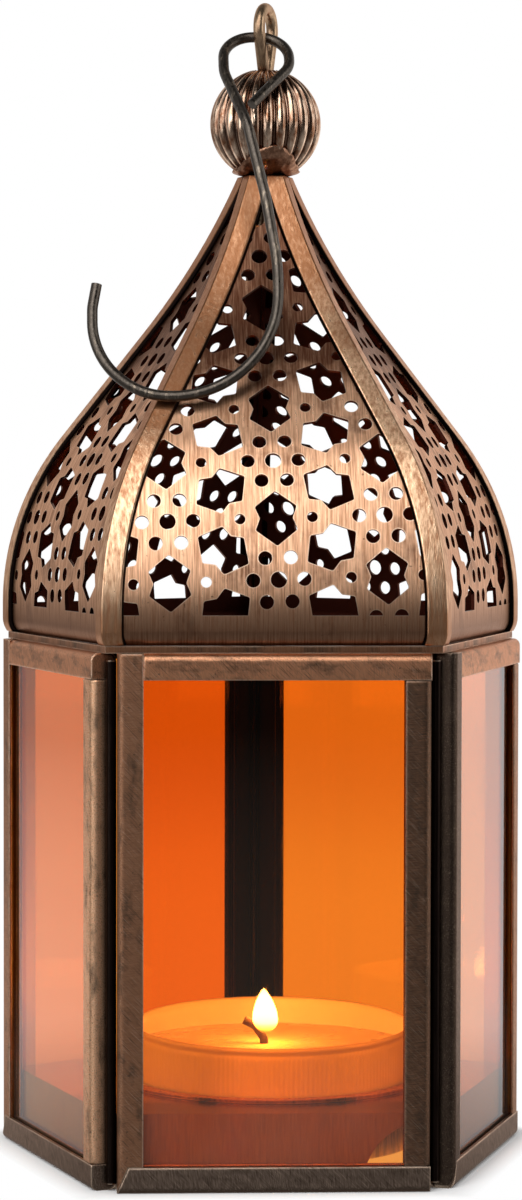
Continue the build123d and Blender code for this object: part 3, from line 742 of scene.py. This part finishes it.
def outside_body(tree, place):
    """Distance outside the lantern's five-sided plan, in metres, and below 0 inside it."""
    reach = -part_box("front_panel_bottom_rail")[0].y
    widest = -reach
    for index in range(len(SIDES)):
        turn = index * SIDE_TURN - math.pi / 2
        facing = {0: place, 1: (math.cos(turn), math.sin(turn), 0)}
        along = node(tree, "ShaderNodeVectorMath", facing, operation="DOT_PRODUCT").outputs["Value"]
        widest = math_of(tree, "MAXIMUM", along, widest)
    return math_of(tree, "SUBTRACT", widest, reach)


def pale_floor():
    """White floor that keeps the lantern's shadow and fades into the white background.

    It goes with the base, which stays on it when the lantern is lifted off.
    """
    mesh = bpy.data.meshes.new("floor")
    build = bmesh.new()
    bmesh.ops.create_circle(build, cap_ends=True, segments=96, radius=FLOOR_RADIUS)
    build.to_mesh(mesh)
    build.free()
    floor = bpy.data.objects.new("floor", mesh)
    bpy.context.scene.collection.objects.link(floor)
    material, tree, shader = new_material("pale_floor")
    shader.inputs["Base Color"].default_value = FLOOR_PALE
    shader.inputs["Roughness"].default_value = 0.9
    shader.inputs["Specular IOR Level"].default_value = 0.1
    place = node(tree, "ShaderNodeTexCoord").outputs["Object"]
    split = node(tree, "ShaderNodeSeparateXYZ", {0: place})
    paths = node(tree, "ShaderNodeLightPath")
    outside = outside_body(tree, place)
    far = range_of(tree, outside, 0.5 * MM, 4.0 * MM, 0.0, 1.0)
    seen = math_of(tree, "MULTIPLY", paths.outputs["Is Camera Ray"], far)
    mirrored = paths.outputs["Is Glossy Ray"]
    through = paths.outputs["Is Transmission Ray"]
    share = math_of(tree, "MAXIMUM", seen, math_of(tree, "MAXIMUM", mirrored, through))
    front = range_of(tree, split.outputs["Y"], -0.9, -0.1, 0.03, 0.28)
    back = range_of(tree, split.outputs["Y"], -0.032, 0.10, 0.0, 0.72)
    leftward = range_of(tree, split.outputs["X"], -0.50, 0.0, 0.40, 1.0)
    dimmed = math_of(tree, "MULTIPLY", math_of(tree, "ADD", front, back), leftward)
    in_plan = range_of(tree, outside, -2.0 * MM, -4.0 * MM, 0.0, 1.0)
    reflected = math_of(tree, "MAXIMUM", dimmed, in_plan)
    # Painted shade under the lantern, seen by rays that come through its glass
    under = range_of(tree, outside, -1.0 * MM, 4.0 * MM, 0.72, 1.0)
    shaded = math_of(tree, "MAXIMUM", under, math_of(tree, "SUBTRACT", 1.0, through))
    plain = math_of(tree, "MULTIPLY", shaded, math_of(tree, "SUBTRACT", 1.0, mirrored))
    strength = math_of(tree, "ADD", plain, math_of(tree, "MULTIPLY", reflected, mirrored))
    white = node(tree, "ShaderNodeEmission", {"Color": WHITE, "Strength": strength})
    both = node(tree, "ShaderNodeMixShader", {0: share, 1: shader.outputs[0], 2: white.outputs[0]})
    tree.links.new(both.outputs[0], tree.nodes["Material Output"].inputs["Surface"])
    mesh.materials.append(material)
    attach(floor, "base")


def studio_world():
    """White backdrop all round to the camera and the glass; the metal sees a dim room in front of it."""
    world = bpy.data.worlds.new("studio")
    bpy.context.scene.world = world
    world.use_nodes = True
    tree = world.node_tree
    tree.nodes.clear()
    paths = node(tree, "ShaderNodeLightPath")
    towards = node(tree, "ShaderNodeTexCoord").outputs["Generated"]
    split = node(tree, "ShaderNodeSeparateXYZ", {0: towards})
    behind = range_of(tree, split.outputs["Y"], -0.10, 0.35, 0.03, 0.95)
    backdrop = math_of(tree, "MULTIPLY", behind, range_of(tree, split.outputs["X"], -0.80, 0.20, 0.55, 1.0))
    room = math_of(tree, "MULTIPLY", backdrop, range_of(tree, split.outputs["Z"], 0.45, 0.90, 1.0, 0.15))
    clear = math_of(tree, "MAXIMUM", paths.outputs["Is Camera Ray"], paths.outputs["Is Transmission Ray"])
    glossy = math_of(tree, "MULTIPLY", paths.outputs["Is Glossy Ray"], room)
    diffuse = math_of(tree, "MULTIPLY", paths.outputs["Is Diffuse Ray"], 0.55)
    strength = math_of(tree, "MAXIMUM", clear, math_of(tree, "MAXIMUM", glossy, diffuse))
    background = node(tree, "ShaderNodeBackground", {"Color": WHITE, "Strength": strength})
    output = node(tree, "ShaderNodeOutputWorld")
    tree.links.new(background.outputs[0], output.inputs["Surface"])


def softbox(name, place, target, width, height, brightness):
    """Area lamp whose face looks as bright as given, aimed at a point."""
    lamp = bpy.data.lights.new(name, "AREA")
    lamp.shape = "RECTANGLE"
    lamp.size = width
    lamp.size_y = height
    lamp.energy = brightness * math.pi * width * height
    made = bpy.data.objects.new(name, lamp)
    bpy.context.scene.collection.objects.link(made)
    made.location = place
    made.rotation_euler = (Vector(target) - Vector(place)).to_track_quat("-Z", "Y").to_euler()


def candle_lamp(flame, place):
    """Warm light of the flame, which goes with it."""
    lamp = bpy.data.lights.new("candle_light", "POINT")
    lamp.color = CANDLE_LIGHT
    lamp.energy = CANDLE_WATTS
    lamp.shadow_soft_size = 0.002
    made = bpy.data.objects.new("candle_light", lamp)
    bpy.context.scene.collection.objects.link(made)
    made.parent = flame
    made.location = place
    made.visible_camera = False
    made.visible_transmission = False
    made.visible_glossy = False


def photo_camera():
    """Camera at the photograph's viewing angle."""
    data = bpy.data.cameras.new("camera")
    data.sensor_width = SENSOR
    data.lens = FOCAL_PIXELS / PHOTO_HEIGHT * SENSOR
    data.shift_x = (PHOTO_WIDTH / 2 - CENTRE_PIXEL) / PHOTO_HEIGHT
    data.clip_start = 0.05
    data.clip_end = 50
    made = bpy.data.objects.new("camera", data)
    bpy.context.scene.collection.objects.link(made)
    turn = Matrix.Rotation(CAMERA_AZIMUTH, 4, "Z")
    aim = Euler((math.pi / 2 - CAMERA_PITCH, 0, 0)).to_matrix().to_4x4()
    roll = Matrix.Rotation(CAMERA_ROLL, 4, "Z")
    made.matrix_world = turn @ Matrix.Translation((0, -CAMERA_DISTANCE, CAMERA_HEIGHT)) @ aim @ roll
    bpy.context.scene.camera = made


photo_camera()
dress_body()
dress_roof()
dress("hook", dark_wire("hook_wire"))
flame, flame_middle = dress_base_and_candle()

pale_floor()
studio_world()
middle = (cad_low + cad_high) / 2
for lamp_name, (lamp_place, lamp_width, lamp_height, brightness) in SOFTBOXES.items():
    softbox(lamp_name, lamp_place, middle, lamp_width, lamp_height, brightness)
candle_lamp(flame, flame_middle)

bpy.context.scene.view_settings.view_transform = "Standard"
